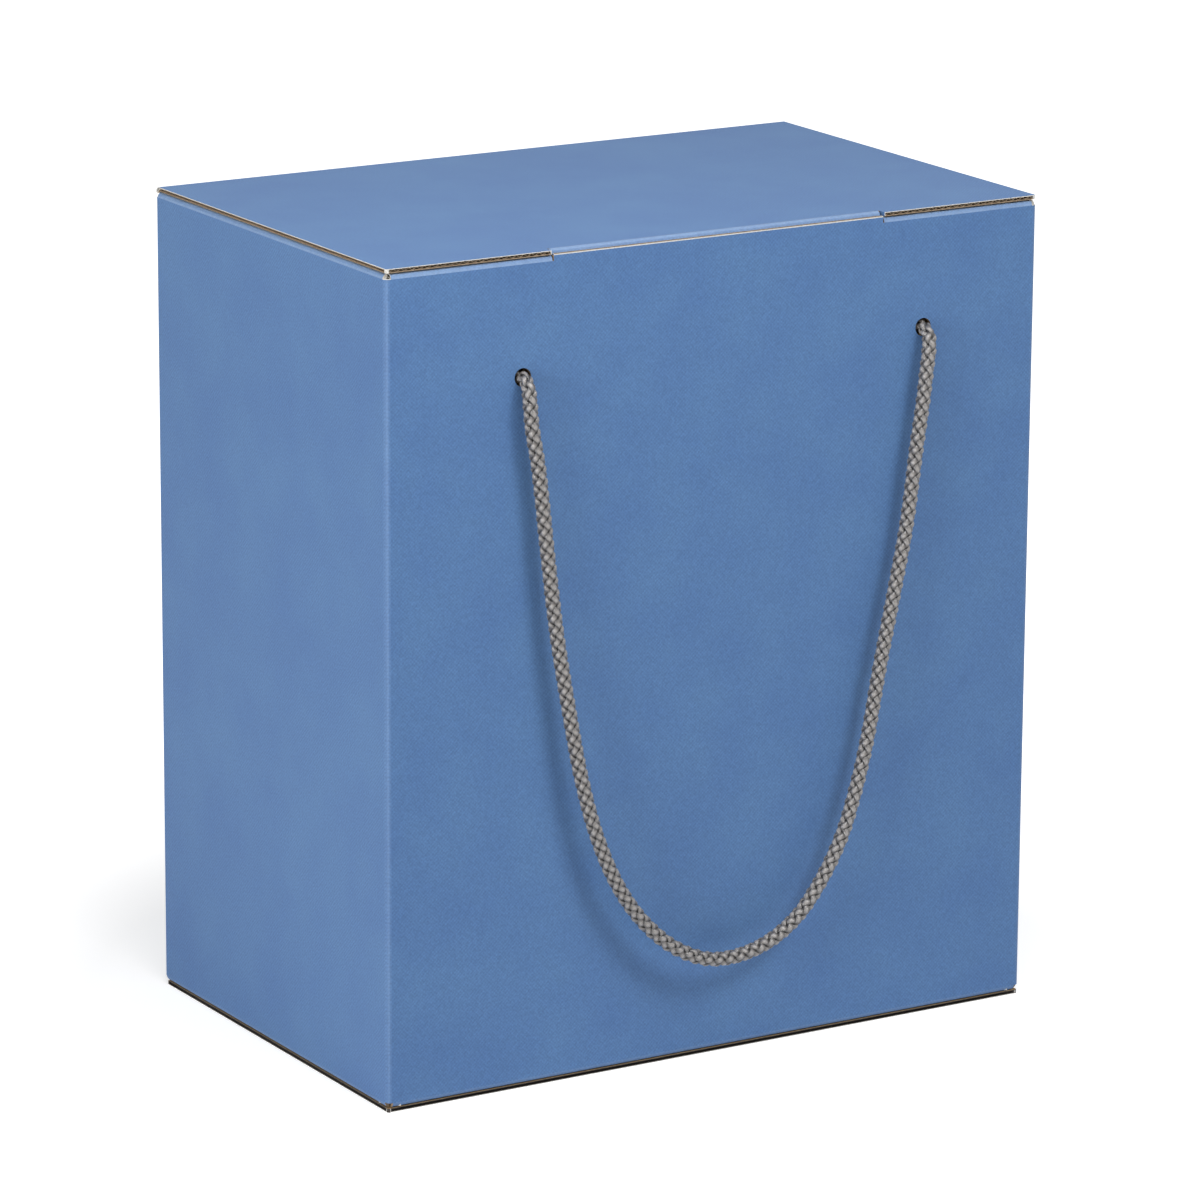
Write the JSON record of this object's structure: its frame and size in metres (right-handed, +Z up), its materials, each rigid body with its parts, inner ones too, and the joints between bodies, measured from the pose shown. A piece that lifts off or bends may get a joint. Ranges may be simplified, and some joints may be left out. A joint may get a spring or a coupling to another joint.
{
  "type": "cardboard carry box with rope handle",
  "caption": "Upright folded corrugated carry box with a rear-hinged tuck lid and a braided rope handle hanging on its front wall.",
  "frame": {"origin": "under the middle of the bottom, on the surface that the box stands on", "axes": "+Z up, +X along the width, the front wall with the rope handle towards -Y and the lid's hinge towards +Y"},
  "size_m": [0.285, 0.1946, 0.32],
  "materials": {
    "printed_board": "matte blue print on white-lined fine-flute corrugated board, grey-brown raw edges",
    "printed_board_lid": "the same board, flutes running front to back",
    "braided_cord": "silver-grey braided cord with a soft sheen"
  },
  "bodies": {
    "carton": {"carton": "printed_board", "rope_handle": "braided_cord", "rope_knot_left": "braided_cord", "rope_knot_right": "braided_cord"},
    "lid": {"lid": "printed_board_lid"}
  },
  "joints": [
    {"name": "lid_hinge", "type": "hinge", "parent": "carton", "child": "lid", "pos_m": [0, 0.09015, 0.31785], "axis": [-1, 0, 0], "range_deg": [0, 200]}
  ]
}
